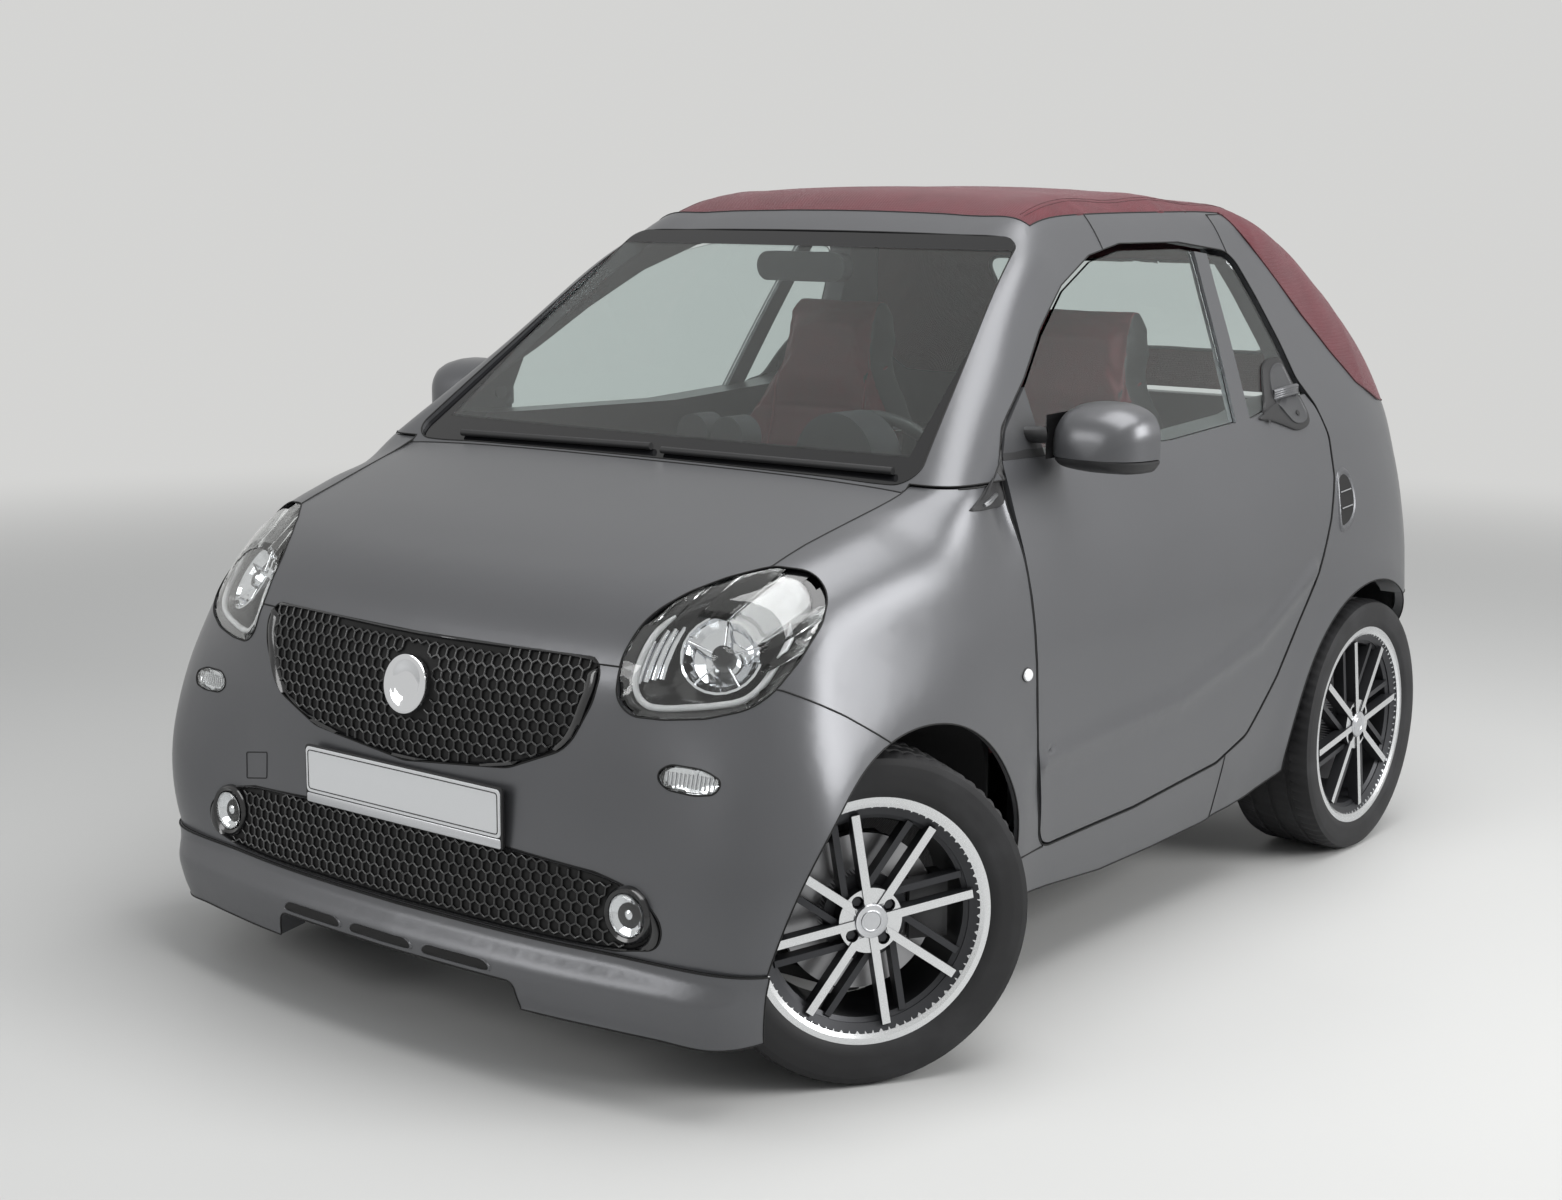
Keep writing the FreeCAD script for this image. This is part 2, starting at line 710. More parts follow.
# Outlines in the side view (station share, height share)
APERTURE_SHARES = (
    (0.260, 0.194), (0.459, 0.196), (0.640, 0.214), (0.703, 0.241), (0.763, 0.314), (0.809, 0.386),
    (0.855, 0.453), (0.896, 0.523), (0.922, 0.583), (0.931, 0.641), (0.920, 0.686), (0.896, 0.725),
    (0.887, 0.777), (0.872, 0.841), (0.851, 0.907), (0.741, 0.922), (0.608, 0.922), (0.534, 0.908),
    (0.453, 0.872), (0.378, 0.819), (0.314, 0.764), (0.245, 0.712), (0.219, 0.676), (0.219, 0.621),
    (0.223, 0.518), (0.223, 0.453), (0.235, 0.328),
)
CELL_SHARES = (
    (0.207, 0.139), (0.301, 0.132), (0.417, 0.119), (0.532, 0.119), (0.644, 0.124), (0.744, 0.139),
    (0.837, 0.170), (1.043, 0.170), (1.043, 0.362), (1.318, 0.379), (2.420, 0.388), (2.420, 0.667),
    (1.814, 0.671), (1.539, 0.680), (1.263, 0.710), (1.040, 0.758), (0.968, 0.814), (0.941, 0.862),
    (0.915, 0.906), (0.885, 0.961), (0.845, 0.961), (0.845, 0.893), (0.795, 0.583), (0.368, 0.324),
    (0.300, 0.240), (0.207, 0.240),
)
SOFT_TOP_SIDE_SHARES = (
    (0.80, 1.036), (0.80, 0.90), (0.90, 0.70), (1.20, 0.669), (2.420, 0.669), (2.420, 1.036),
)
DOOR_SHELL_SHARES = (
    (0.197, 0.162), (0.955, 0.162), (0.955, 0.707), (0.848, 0.696), (0.767, 0.680), (0.569, 0.667),
    (0.304, 0.673), (0.197, 0.677),
)
DIVIDER_SHARES = ((0.712, 0.640), (0.747, 0.640), (0.796, 0.912), (0.768, 0.912))
MIRROR_PANEL_SHARES = ((0.197, 0.677), (0.304, 0.673), (0.320, 0.971), (0.197, 0.971))
FRAME_SHARES = (
    (0.069, 0.655), (0.216, 0.655), (0.245, 0.686), (0.568, 0.841), (0.568, 1.061), (0.069, 1.061),
)
BUMPER_SHARES = (
    (0.005, 0.372), (-0.088, 0.392), (-0.310, 0.434), (-0.513, 0.467), (-0.657, 0.480), (-1.332, 0.480),
    (-1.332, 0.167), (0.005, 0.167),
)
FENDER_SHARES = (
    (0.270, 0.194), (0.270, 0.652), (-0.897, 0.652), (-0.897, 0.370), (0.005, 0.170), (0.207, 0.194),
)
RAIL_SHARES = (
    (0.560, 0.841), (0.560, 1.036), (0.882, 1.036), (0.882, 0.959), (0.846, 0.959), (0.846, 0.841),
)
LIP_SHARES = ((0.005, 0.080), (0.005, 0.167), (-1.50, 0.167), (-1.50, 0.080))
REAR_BUMPER_SHARES = ((1.043, 0.13), (1.043, 0.362), (1.318, 0.379), (2.420, 0.388), (2.420, 0.13))

# Outlines in the front or rear view (half-width share, height share)
HEADLAMP_SHARES = (
    (0.738, 0.584), (0.818, 0.581), (0.867, 0.561), (0.888, 0.530), (0.888, 0.495), (0.872, 0.464),
    (0.838, 0.447), (0.760, 0.435), (0.673, 0.430), (0.601, 0.430), (0.566, 0.446), (0.557, 0.490),
    (0.571, 0.532), (0.622, 0.557), (0.673, 0.572),
)
UPPER_GRILLE_SHARES = (
    (-0.499, 0.4865), (0.0, 0.4835), (0.499, 0.4865), (0.520, 0.470), (0.512, 0.440), (0.460, 0.385),
    (0.304, 0.352), (0.0, 0.336), (-0.304, 0.352), (-0.460, 0.385), (-0.512, 0.440), (-0.520, 0.470),
)
LOWER_GRILLE_SHARES = (
    (0.0, 0.279), (0.310, 0.262), (0.539, 0.254), (0.661, 0.240), (0.720, 0.210), (0.706, 0.182),
    (0.600, 0.171), (0.310, 0.170), (0.0, 0.170), (-0.310, 0.170), (-0.600, 0.171), (-0.706, 0.182),
    (-0.720, 0.210), (-0.661, 0.240), (-0.539, 0.254), (-0.310, 0.262),
)
INDICATOR_SHARES = (
    (0.673, 0.371), (0.700, 0.385), (0.782, 0.384), (0.825, 0.374), (0.815, 0.360), (0.770, 0.356),
    (0.700, 0.358),
)
TAILGATE_SHARES = ((-0.612, 0.392), (0.612, 0.392), (0.630, 0.664), (-0.630, 0.664))
TAIL_LAMP_SHARES = (
    (0.70, 0.425), (0.80, 0.420), (0.86, 0.435), (0.875, 0.475), (0.875, 0.525), (0.86, 0.565),
    (0.80, 0.580), (0.70, 0.578), (0.675, 0.56), (0.665, 0.50), (0.675, 0.44),
)
REAR_WINDOW_SHARES = ((-0.46, 0.735), (0.46, 0.735), (0.42, 0.885), (-0.42, 0.885))
LIP_CUT_SHARES = ((-0.41, 0.03), (0.41, 0.03), (0.37, 0.118), (-0.37, 0.118))

# Outlines in the top view (half-width share, station share)
BONNET_REAR_SHARE = 0.118
BAR_HALF_SHARE = 0.780
BONNET_SHARES = (
    (0.569, -1.332), (0.601, -0.679), (0.736, -0.243), (0.742, -0.058), (0.780, 0.112),
    (0.780, BONNET_REAR_SHARE), (-0.780, BONNET_REAR_SHARE), (-0.780, 0.112), (-0.742, -0.058),
    (-0.736, -0.243), (-0.601, -0.679), (-0.569, -1.332),
)
SCREEN_SHARES = ((-0.800, 0.012), (0.800, 0.012), (0.612, 0.965), (-0.612, 0.965))
ROOF_OPENING_SHARE = 0.598
HEADER_SHARE = 0.458

# Ray fans of the panels' surfaces, in the order that side, plan, roof, bonnet or length rays take
BONNET_FAN = (74, 150, 19, 0.80, 17)
FENDER_FAN = (0.45, 0.34, -0.60, 0.275, 19, -38, 96, 20)
BUMPER_FAN = (0.0, 0.05, -173, -7, 37, 0.155, 0.50, 14)
LIP_FAN = (0.0, 0.05, -164, -16, 37, 0.09, 0.172, 8)
UPPER_GRILLE_FAN = (0.0, 0.05, -138, -42, 19, 0.31, 0.505, 9)
LOWER_GRILLE_FAN = (0.0, 0.05, -142, -38, 21, 0.15, 0.30, 7)
INDICATOR_FAN = (0.0, 0.05, -70, -30, 13, 0.30, 0.42, 7)
SILL_FAN = (0.19, 0.70, 14, 0.105, 0.30, 9)
QUARTER_FAN = (0.50, 0.93, -62, 92, 31, 0.105, 0.962, 29)
TAIL_LAMP_FAN = (0.50, 0.93, 20, 92, 15, 0.40, 0.60, 9)
DOOR_FAN = (0.20, 0.95, 20, 0.17, 0.72, 15)
POST_FAN = (0.68, 0.83, 6, 0.60, 0.93, 8)
PANE_FAN = (0.205, 0.95, 18, 0.655, 0.94, 11)
FRAME_FAN = (172, 88, 21, 64, 25)
SCREEN_FAN = (170, 105, 13, 56, 17)
RAIL_FAN = (124, 48, 19, 64, 25)
COVER_FAN = (124, 8, 33, 66, 27)
REAR_PANE_FAN = (50, 8, 11, 40, 13)
TAILGATE_FAN = (0.0, 0.9, 30, 150, 23, 0.37, 0.68, 13)
REAR_BUMPER_FAN = (0.0, 0.9, -8, 188, 37, 0.13, 0.395, 11)
HEADLAMP_GRID = 13


def lamp_prism(shares, gap, near, far, sign=1):
    """Prism along Y of an outline in the front view with every corner rounded as far as it goes."""
    points = [V(sign * breadth(u), near, level(w)) for u, w in shares]
    face = Part.Face(rounded_loop(points, [LAMP_CORNER] * len(points)))
    if gap:
        face = Part.Face(face.makeOffset2D(gap).Wires[0])
    return face.extrude(V(0, far - near, 0))


def across(shares, radius, gap=0.0):
    """Prism of a side outline through the whole width of the car."""
    return side_prism(shares, radius, gap, -BODY_WIDTH, BODY_WIDTH)


FRONT_LIMIT = station(-1) - OVERRUN
REAR_LIMIT = station(2) + OVERRUN
FRONT_WHEEL_X = FRONT_TRACK / 2
REAR_WHEEL_X = REAR_TRACK / 2
KINGPIN_X = FRONT_WHEEL_X - KINGPIN_OFFSET
TREAD_HALF = FRONT_TYRE_WIDTH / 2 - SHOULDER
SWEEP_RADIUS = math.hypot(FRONT_TYRE_RADIUS, KINGPIN_OFFSET + TREAD_HALF) + WHEEL_CLEARANCE


def steering_sweep():
    """Ball of space that the front wheel needs on the left as it turns."""
    return Part.makeSphere(SWEEP_RADIUS, V(KINGPIN_X, FRONT_AXLE_Y, FRONT_TYRE_RADIUS))


def arch(radius, y, z):
    """Wheel arch opening on the left."""
    return cylinder_x(radius, breadth(ARCH_INNER_SHARE), HALF_WIDTH + OVERRUN, y, z)


def bonnet_prism(gap):
    """Space of the bonnet above its joints, grown by the gap."""
    base, top = [level(share) for share in BONNET_SPACE_SHARES]
    points = [V(breadth(u), station(w), base) for u, w in BONNET_SHARES]
    face = Part.Face(rounded_loop(points, [SKIN] * len(points)))
    if gap:
        face = Part.Face(face.makeOffset2D(gap).Wires[0])
    return face.extrude(V(0, 0, top - base))


def frame_space(gap):
    """Space of the windscreen frame: its side outline and the bar under the glass, grown by the gap."""
    far, low, high = BAR_SPACE_SHARES
    half = breadth(BAR_HALF_SHARE) + gap
    bar = box(-half, half, station(BONNET_REAR_SHARE) - gap, station(far), level(low), level(high))
    return across(FRAME_SHARES, 0, gap).fuse(bar)


def make_front():
    """Bonnet, fenders, bumper, lip, grilles and lamps."""
    lamp = lamp_prism(HEADLAMP_SHARES, 0, FRONT_LIMIT, station(LAMP_BACK_SHARE))
    grille = lamp_prism(UPPER_GRILLE_SHARES, 0, FRONT_LIMIT, station(GRILLE_BACK_SHARE))
    lower = lamp_prism(LOWER_GRILLE_SHARES, 0, FRONT_LIMIT, station(GRILLE_BACK_SHARE))
    front_arch = arch(FRONT_ARCH_RADIUS, FRONT_ARCH_Y, FRONT_ARCH_Z)
    sweep = steering_sweep()
    wheel_space = [front_arch, mirror(front_arch), sweep, mirror(sweep)]
    bumper_space = across(BUMPER_SHARES, 0)
    bumper_grown = across(BUMPER_SHARES, 0, RUNNING_GAP)

    bonnet = slab(bonnet_rays(BONNET_FAN), 0, SKIN)
    bonnet = bonnet.common(bonnet_prism(0))
    for opening in (lamp, mirror(lamp), grille, bumper_grown):
        bonnet = bonnet.cut(opening)
    keep("bonnet", biggest(bonnet))

    fender = slab(length_rays(FENDER_FAN), 0, SKIN)
    fender = fender.common(side_prism(FENDER_SHARES, 0))
    spaces = (bonnet_prism(RUNNING_GAP), bumper_grown, frame_space(RUNNING_GAP), lamp, front_arch, sweep)
    for opening in spaces:
        fender = fender.cut(opening)
    fender = biggest(fender.cut(side_prism(APERTURE_SHARES, DOOR_CORNER, SHUT_GAP / 2)))
    keep("front_fenders", both(fender))

    bumper = slab(plan_rays(BUMPER_FAN), 0, SKIN)
    bumper = bumper.common(bumper_space)
    indicators = []
    for sign in (1, -1):
        indicators.append(lamp_prism(INDICATOR_SHARES, 0, FRONT_LIMIT, station(LAMP_BACK_SHARE), sign))
    for opening in [lamp, mirror(lamp), grille, lower] + wheel_space + indicators:
        bumper = bumper.cut(opening)
    keep("front_bumper", biggest(bumper))

    lip = slab(plan_rays(LIP_FAN), 0, SKIN * 2, swell=lip_rise)
    lip = lip.common(across(LIP_SHARES, 0, -RUNNING_GAP))
    lip = lip.cut(front_prism(LIP_CUT_SHARES, SKIN * 2, 0, FRONT_LIMIT, 0))
    for opening in wheel_space:
        lip = lip.cut(opening)
    keep("front_lip", biggest(lip))

    panel = slab(plan_rays(UPPER_GRILLE_FAN), GRILLE_INSET - SKIN, GRILLE_INSET)
    upper = biggest(panel.common(lamp_prism(UPPER_GRILLE_SHARES, -RUNNING_GAP, FRONT_LIMIT, 0)))
    panel = slab(plan_rays(LOWER_GRILLE_FAN), GRILLE_INSET - SKIN, GRILLE_INSET)
    low_panel = biggest(panel.common(lamp_prism(LOWER_GRILLE_SHARES, -RUNNING_GAP, FRONT_LIMIT, 0)))
    keep("grilles", Part.makeCompound([upper, low_panel]))

    heading = V(*LAMP_HEADING_SHARES).normalize()
    centre = V(breadth(LAMP_CENTRE_SHARES[0]), station(LAMP_CENTRE_SHARES[1]), level(LAMP_CENTRE_SHARES[2]))
    start = centre - heading * LAMP_REACH
    rays = parallel_rays(start, heading, LAMP_SPREAD, LAMP_SPREAD, HEADLAMP_GRID, HEADLAMP_GRID)
    lens = slab(rays, PANEL_GAP / 2, LAMP_DEPTH)
    lens = lens.common(lamp_prism(HEADLAMP_SHARES, -RUNNING_GAP, FRONT_LIMIT, 0))
    keep("headlamps", both(biggest(lens)))

    small = slab(plan_rays(INDICATOR_FAN), 0, SKIN * 2)
    small = small.common(lamp_prism(INDICATOR_SHARES, -RUNNING_GAP, FRONT_LIMIT, 0))
    keep("indicator_lamps", both(biggest(small)))


def lip_rise(point):
    """How far the front lip stands out from the bumper's form."""
    wide = abs(point.x) / HALF_WIDTH
    top, low, narrow, broad = LIP_FADE_SHARES
    reach = LIP_REACH * ramp(point.z, level(top), level(low)) * (1 - ramp(wide, narrow, broad))
    return reach + LIP_STEP * ramp(point.z, level(LIP_TOP_SHARES[0]), level(LIP_TOP_SHARES[1]))


STRIKER_PLACE = (station(0.9245), level(0.60))


def mirror_head(centre):
    """Housing of the left outside mirror, rounded in all three views."""
    half = MIRROR_WIDTH / 2
    deep = MIRROR_DEPTH / 2
    tall = MIRROR_HEIGHT / 2
    front = [(-half, -tall), (half, -tall), (half, tall), (-half, tall)]
    front = [centre + V(u, -deep, w) for u, w in front]
    plan = [(-half, -deep), (half, -deep), (half, deep), (-half, deep)]
    plan = [centre + V(u, v, -tall) for u, v in plan]
    flank = [(-deep, -tall), (deep, -tall), (deep, tall), (-deep, tall)]
    flank = [centre + V(-half, v, w) for v, w in flank]
    views = (
        (front, [share * MIRROR_HEIGHT for share in MIRROR_FRONT_ROUNDS], V(0, MIRROR_DEPTH, 0)),
        (plan, [share * MIRROR_DEPTH for share in MIRROR_PLAN_ROUNDS], V(0, 0, MIRROR_HEIGHT)),
        (flank, [share * MIRROR_HEIGHT for share in MIRROR_FLANK_ROUNDS], V(MIRROR_WIDTH, 0, 0)),
    )
    head = None
    for corners, radii, way in views:
        prism = Part.Face(rounded_loop(corners, radii)).extrude(way)
        head = prism if head is None else head.common(prism)
    return head


def make_cell():
    """Safety cell sides, doors with their glass, and the mirrors."""
    aperture = side_prism(APERTURE_SHARES, DOOR_CORNER, SHUT_GAP / 2)
    outline = side_prism(CELL_SHARES, SKIN)
    joint = station(CELL_JOINT_SHARE)
    sill = slab(side_rays(SILL_FAN), 0, CELL_WALL, side_form)
    quarter = slab(plan_rays(QUARTER_FAN), 0, CELL_WALL)
    rear_arch = arch(REAR_ARCH_RADIUS, REAR_AXLE_Y, REAR_ARCH_Z)
    hatch = station(HATCH_FRONT_SHARE)
    quarter = quarter.common(outline)
    quarter = quarter.common(box(0, BODY_WIDTH, joint, REAR_LIMIT, 0, BODY_HEIGHT))
    spaces = (
        aperture, rear_arch, front_prism(TAILGATE_SHARES, 0, SHUT_GAP / 2, hatch, REAR_LIMIT),
        box(0, breadth(TAILGATE_SHARES[1][0]), hatch, REAR_LIMIT, 0, BODY_HEIGHT),
        lamp_prism(TAIL_LAMP_SHARES, 0, station(LAMP_SPACE_SHARE), REAR_LIMIT),
    )
    for space in spaces:
        quarter = quarter.cut(space)
    sill = sill.common(outline).common(box(0, BODY_WIDTH, FRONT_LIMIT, joint, 0, BODY_HEIGHT))
    sill = sill.cut(aperture).cut(across(FENDER_SHARES, 0, RUNNING_GAP))
    cell = biggest(sill).fuse(biggest(quarter))
    striker_at = V(side_x(*STRIKER_PLACE), *STRIKER_PLACE)
    inward = -slope(striker_at, side_form)
    striker_start = striker_at + inward * (JAMB_DEPTH + RUNNING_GAP)
    striker_length = CELL_WALL - JAMB_DEPTH - RUNNING_GAP
    cell = cell.fuse(Part.makeCylinder(STRIKER_RADIUS, striker_length, striker_start, inward))
    cell = biggest(cell)
    keep("cell_left", cell)
    keep("cell_right", mirror(cell))

    lens = slab(plan_rays(TAIL_LAMP_FAN), 0, CELL_WALL)
    lens = lens.common(lamp_prism(TAIL_LAMP_SHARES, -RUNNING_GAP, station(LAMP_SPACE_SHARE), REAR_LIMIT))
    keep("tail_lamps", both(biggest(lens)))

    door_face = side_prism(APERTURE_SHARES, DOOR_CORNER, -SHUT_GAP / 2)
    jamb_face = side_prism(APERTURE_SHARES, DOOR_CORNER, -SHUT_GAP / 2 - JAMB_STEP)
    rays = side_rays(DOOR_FAN)
    skin = slab(rays, 0, JAMB_DEPTH, side_form)
    core = slab(rays, SKIN, DOOR_WALL, side_form)
    shell = side_prism(DOOR_SHELL_SHARES, 0)
    door = skin.common(door_face).common(shell)
    door = door.fuse(core.common(jamb_face).common(shell))
    post = slab(side_rays(POST_FAN), 0, POST_DEPTH, side_form)
    opening = side_prism(APERTURE_SHARES, DOOR_CORNER, -GLASS_GAP)
    post = post.common(side_prism(DIVIDER_SHARES, 0)).common(opening)
    door = biggest(door.fuse(post))
    keep("door_left", door)
    keep("door_right", mirror(door))

    rays = side_rays(PANE_FAN)
    pane = slab(rays, GLASS_INSET, GLASS_INSET + GLASS, side_form)
    divider = side_prism(DIVIDER_SHARES, 0, RUNNING_GAP)
    shell_grown = side_prism(DOOR_SHELL_SHARES, 0, RUNNING_GAP)
    panel_grown = side_prism(MIRROR_PANEL_SHARES, 0, RUNNING_GAP)
    pane = pane.common(opening)
    for space in (divider, shell_grown, panel_grown):
        pane = pane.cut(space)
    panes = sorted(pane.Solids, key=lambda solid: solid.Volume)[-2:]
    glass = Part.makeCompound(panes)
    keep("door_glass_left", glass)
    keep("door_glass_right", mirror(glass))

    panel = slab(rays, 0, PANEL_DEPTH, side_form)
    panel = panel.common(side_prism(APERTURE_SHARES, DOOR_CORNER, -SHUT_GAP))
    panel = panel.common(side_prism(MIRROR_PANEL_SHARES, 0))
    panel = biggest(panel.cut(shell_grown))
    root = V(MIRROR_ROOT_X, station(MIRROR_ARM_SHARE), level(MIRROR_SHARES[1]))
    arm = Part.makeCylinder(MIRROR_ARM_RADIUS, MIRROR_ARM_LENGTH, root, V(*MIRROR_ARM_SHARES))
    head = mirror_head(V(MIRROR_X, station(MIRROR_SHARES[0]), level(MIRROR_SHARES[2])))
    mirror_piece = panel.fuse(arm).fuse(head)
    mirror_piece = biggest(mirror_piece)
    keep("mirror_left", mirror_piece)
    keep("mirror_right", mirror(mirror_piece))


def make_top():
    """Windscreen frame, roof rails, soft top, windscreen and rear window."""
    aperture = side_prism(APERTURE_SHARES, DOOR_CORNER, SHUT_GAP / 2)
    frame = slab(roof_rays(FRAME_FAN), 0, FRAME_WALL).common(frame_space(0))
    screen_points = []
    for u, w in SCREEN_SHARES:
        foot = SCREEN_FOOT + SCREEN_RISE * (w * (SCREEN_HEAD - SCREEN_FOOT).Length)
        screen_points.append(V(breadth(u), foot.y, foot.z) - SCREEN_NORMAL * OVERRUN / 2)
    screen_face = Part.Face(rounded_loop(screen_points, [SCREEN_CORNER] * len(screen_points)))
    screen_cut = screen_face.extrude(SCREEN_NORMAL * OVERRUN)
    half = breadth(ROOF_OPENING_SHARE)
    roof_rear, roof_low, roof_high = ROOF_SPACE_SHARES
    roof_cut = box(-half, half, station(HEADER_SHARE), REAR_LIMIT, level(roof_low), level(roof_high))
    for opening in (screen_cut, aperture, mirror(aperture), roof_cut, bonnet_prism(RUNNING_GAP)):
        frame = frame.cut(opening)
    keep("windscreen_frame", biggest(frame))

    pane = slab(roof_rays(SCREEN_FAN), GLASS_INSET / 2, GLASS_INSET / 2 + GLASS, screen_form)
    inset = Part.Face(screen_face.makeOffset2D(-RUNNING_GAP).Wires[0])
    front_pane = biggest(pane.common(inset.extrude(SCREEN_NORMAL * OVERRUN)))

    rail = slab(roof_rays(RAIL_FAN), 0, RAIL_WALL).common(side_prism(RAIL_SHARES, 0))
    frame_grown = across(FRAME_SHARES, 0, RUNNING_GAP)
    cell_grown = across(CELL_SHARES, 0, RUNNING_GAP)
    rail = rail.cut(aperture).cut(roof_cut).cut(frame_grown).cut(cell_grown)
    keep("roof_rails", both(biggest(rail)))

    top_half = half - RUNNING_GAP
    roof_space = box(-top_half, top_half, station(HEADER_SHARE) + RUNNING_GAP, station(roof_rear),
                     level(roof_low), level(roof_high))
    cover = slab(roof_rays(COVER_FAN), 0, ROOF_WALL)
    cover = cover.common(roof_space.fuse(across(SOFT_TOP_SIDE_SHARES, 0)))
    rail_space = side_prism(RAIL_SHARES, 0, RUNNING_GAP, top_half + RUNNING_GAP, BODY_WIDTH)
    cover = cover.cut(cell_grown).cut(rail_space).cut(mirror(rail_space))
    window_start = station(WINDOW_SPACE_SHARE)
    window = front_prism(REAR_WINDOW_SHARES, WINDOW_CORNER, 0, window_start, REAR_LIMIT)
    cover = cover.cut(window)
    keep("soft_top", biggest(cover))
    pane = slab(roof_rays(REAR_PANE_FAN), GLASS_INSET, GLASS_INSET + GLASS)
    window = front_prism(REAR_WINDOW_SHARES, WINDOW_CORNER, -RUNNING_GAP, window_start, REAR_LIMIT)
    keep("body_glass", Part.makeCompound([front_pane, biggest(pane.common(window))]))


def make_rear():
    """Tailgate and rear bumper."""
    gate = slab(plan_rays(TAILGATE_FAN), 0, TAILGATE_WALL)
    start = station(LAMP_SPACE_SHARE)
    gate = gate.common(front_prism(TAILGATE_SHARES, GATE_CORNER, -SHUT_GAP / 2, start, REAR_LIMIT))
    keep("tailgate", biggest(gate))
    bumper = slab(plan_rays(REAR_BUMPER_FAN), 0, SKIN * 2)
    bumper = bumper.common(across(REAR_BUMPER_SHARES, 0, -RUNNING_GAP))
    rear_arch = arch(REAR_ARCH_RADIUS, REAR_AXLE_Y, REAR_ARCH_Z)
    half = EXHAUST_OPENING_HALF
    tips = box(-half, half, start, REAR_LIMIT, 0, level(EXHAUST_OPENING_SHARE))
    for opening in (rear_arch, mirror(rear_arch), tips):
        bumper = bumper.cut(opening)
    keep("rear_bumper", biggest(bumper))


def revolve_x(profile, x, y, z):
    """Turn an (x offset, radius) profile about the line along X through a point."""
    points = [V(x + u, y, z + r) for u, r in profile]
    return Part.Face(Part.makePolygon(points + [points[0]])).revolve(V(x, y, z), V(1, 0, 0), 360)


def make_tyre(x, y, z, radius, rim, width):
    """Tyre with rounded shoulders, a bulged sidewall and beads inside the rim's flanges."""
    half = width / 2
    bead = rim + RUNNING_GAP - RIM_LIP
    ledge = rim + RUNNING_GAP
    flange = half - BEAD_WIDTH
    seat = flange - RIM_WALL / 2 - RUNNING_GAP
    side = (radius + rim) / 2
    crown = half - SHOULDER
    corner = half - SHOULDER * SHOULDER_SHARE_IN
    corner_radius = radius - SHOULDER * SHOULDER_SHARE_OUT
    bulge = half - BEAD_WIDTH * SIDEWALL_SHARE
    edges = []
    for sign in (-1, 1):
        low = V(x + sign * seat, y, z + bead)
        step = V(x + sign * seat, y, z + ledge)
        over = V(x + sign * flange, y, z + ledge)
        wall = V(x + sign * half, y, z + side)
        top = V(x + sign * crown, y, z + radius)
        edges.append(Part.LineSegment(low, step).toShape())
        edges.append(Part.LineSegment(step, over).toShape())
        edges.append(Part.Arc(over, V(x + sign * bulge, y, z + (ledge + side) / 2), wall).toShape())
        edges.append(Part.Arc(wall, V(x + sign * corner, y, z + corner_radius), top).toShape())
    edges.append(Part.LineSegment(V(x - crown, y, z + radius), V(x + crown, y, z + radius)).toShape())
    edges.append(Part.LineSegment(V(x - seat, y, z + bead), V(x + seat, y, z + bead)).toShape())
    wire = Part.Wire(Part.__sortEdges__(edges))
    return Part.Face(wire).revolve(V(x, y, z), V(1, 0, 0), 360)


